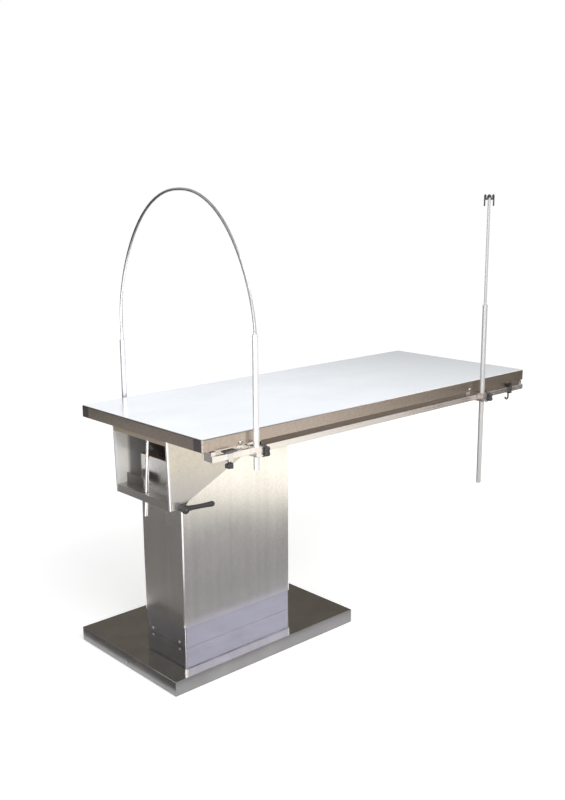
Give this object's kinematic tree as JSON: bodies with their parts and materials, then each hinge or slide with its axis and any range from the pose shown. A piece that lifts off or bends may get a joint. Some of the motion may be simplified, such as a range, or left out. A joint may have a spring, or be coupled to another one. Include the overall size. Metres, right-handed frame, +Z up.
{
  "type": "electric operating table",
  "caption": "Steel operating table: flat rimmed top tilting on a box lift column over a slab base, side rails with clamped drape bow, infusion pole, cleat and hook.",
  "frame": {"origin": "centre of the base plate's underside, on the floor", "axes": "+Z up, +X along the top towards its long overhang, -Y the near side with the lever and the infusion pole"},
  "size_m": [1.4675, 0.6596, 1.3175],
  "materials": {
    "top_steel": "satin, finely brushed along the length",
    "column_steel": "satin, brushed",
    "base_steel": "mirror polished on top, satin rim",
    "bracket_steel": "satin sheet",
    "rail_steel": "satin bar",
    "rod_steel": "polished bar and tube",
    "dark_steel": "dark painted steel",
    "cast_aluminium": "cast, matt",
    "black_plastic": "moulded, slightly textured",
    "white_nylon": "turned nylon"
  },
  "bodies": {
    "base": {"base_plate": "dark_steel", "base_cover": "base_steel", "power_gland": "black_plastic", "column_seat": "dark_steel", "lower_column": "column_steel", "column_flange": "dark_steel", "slide_collar": "white_nylon", "actuator_gearbox": "cast_aluminium", "actuator_motor": "black_plastic", "actuator_outer_tube": "cast_aluminium", "control_box": "black_plastic"},
    "actuator_stage": {"actuator_middle_tube": "column_steel"},
    "lift": {"upper_sleeve": "column_steel", "head_plate": "dark_steel", "hinge_block_near": "cast_aluminium", "hinge_block_far": "cast_aluminium", "tilt_quadrant": "bracket_steel", "stay_bracket": "bracket_steel", "stay_pin": "rod_steel", "actuator_inner_rod": "rod_steel"},
    "stay": {"stay_rod": "rod_steel"},
    "tilt": {"cheek_near": "bracket_steel", "cheek_far": "bracket_steel", "cross_tray": "bracket_steel", "tilt_shaft": "rod_steel", "shaft_collar_near": "bracket_steel", "shaft_collar_far": "bracket_steel", "lock_stud": "rod_steel", "table_top": "top_steel", "long_beam_near": "dark_steel", "long_beam_far": "dark_steel", "cross_bar_1": "dark_steel", "cross_bar_2": "dark_steel", "cross_bar_3": "dark_steel", "cross_bar_4": "dark_steel", "stiffener_near": "dark_steel", "stiffener_far": "dark_steel", "rail_near": "rail_steel", "rail_far": "rail_steel"},
    "lever": {"clamp_lever": "black_plastic"},
    "bow_carriage": {"bow_clamp_near": "rail_steel", "bow_clamp_far": "rail_steel", "bow_tube_near": "rod_steel", "bow_tube_far": "rod_steel", "bow_bush_near": "white_nylon", "bow_bush_far": "white_nylon"},
    "bow_hoop": {"bow": "rod_steel"},
    "bow_knob_near": {"bow_knob_near": "black_plastic"},
    "bow_knob_far": {"bow_knob_far": "black_plastic"},
    "pole_carriage": {"pole_clamp": "rail_steel", "pole_tube": "rod_steel", "pole_bush": "white_nylon"},
    "pole_rod": {"pole_rod": "rod_steel"},
    "pole_hook": {"pole_hook": "black_plastic"},
    "pole_knob": {"pole_knob": "black_plastic"},
    "cleat": {"cleat": "rail_steel"},
    "cleat_knob": {"cleat_knob": "black_plastic"},
    "rail_hook": {"rail_hook": "rail_steel"}
  },
  "joints": [
    {"name": "column_lift", "type": "slide", "parent": "base", "child": "lift", "axis": [0, 0, 1], "range_m": [-0.043, 0.3]},
    {"name": "actuator_extend", "type": "slide", "parent": "base", "child": "actuator_stage", "axis": [0, 0, 1], "range_m": [-0.022, 0.151]},
    {"name": "top_tilt", "type": "hinge", "parent": "lift", "child": "tilt", "pos_m": [0.02, 0, 0.618], "axis": [0, 1, 0], "range_deg": [0, 15]},
    {"name": "stay_swing", "type": "hinge", "parent": "lift", "child": "stay", "pos_m": [-0.2362, 0, 0.648], "axis": [0, 1, 0], "range_deg": [0, 18]},
    {"name": "lever_turn", "type": "hinge", "parent": "tilt", "child": "lever", "pos_m": [-0.2235, -0.1266, 0.4735], "axis": [0, 1, 0], "range_deg": [-45, 45]},
    {"name": "bow_travel", "type": "slide", "parent": "tilt", "child": "bow_carriage", "axis": [1, 0, 0], "range_m": [-0.03, 0.6]},
    {"name": "bow_raise", "type": "slide", "parent": "bow_carriage", "child": "bow_hoop", "axis": [0, 0, 1], "range_m": [0, 0.1]},
    {"name": "bow_knob_near_turn", "type": "hinge", "parent": "bow_carriage", "child": "bow_knob_near", "pos_m": [-0.0957, -0.3145, 0.6445], "axis": [1, 0, 0], "continuous": true},
    {"name": "bow_knob_far_turn", "type": "hinge", "parent": "bow_carriage", "child": "bow_knob_far", "pos_m": [-0.0957, 0.3145, 0.6445], "axis": [1, 0, 0], "continuous": true},
    {"name": "pole_travel", "type": "slide", "parent": "tilt", "child": "pole_carriage", "axis": [1, 0, 0], "range_m": [-0.3, 0.1]},
    {"name": "pole_raise", "type": "slide", "parent": "pole_carriage", "child": "pole_rod", "axis": [0, 0, 1], "range_m": [-0.28, 0.1]},
    {"name": "hook_swivel", "type": "hinge", "parent": "pole_rod", "child": "pole_hook", "pos_m": [0.866, -0.305, 1.2818], "axis": [0, 0, 1], "continuous": true},
    {"name": "pole_knob_turn", "type": "hinge", "parent": "pole_carriage", "child": "pole_knob", "pos_m": [0.8783, -0.3145, 0.6445], "axis": [1, 0, 0], "continuous": true},
    {"name": "cleat_travel", "type": "slide", "parent": "tilt", "child": "cleat", "axis": [1, 0, 0], "range_m": [-0.02, 0.005]},
    {"name": "cleat_knob_turn", "type": "hinge", "parent": "cleat", "child": "cleat_knob", "pos_m": [-0.19, -0.294, 0.6322], "axis": [0, 0, 1], "continuous": true},
    {"name": "rail_hook_travel", "type": "slide", "parent": "tilt", "child": "rail_hook", "axis": [1, 0, 0], "range_m": [-0.02, 0.04]}
  ],
  "couplings": [
    {"joint": "actuator_extend", "follows": "column_lift", "ratio": 0.5},
    {"joint": "stay_swing", "follows": "top_tilt", "ratio": 1.175}
  ]
}
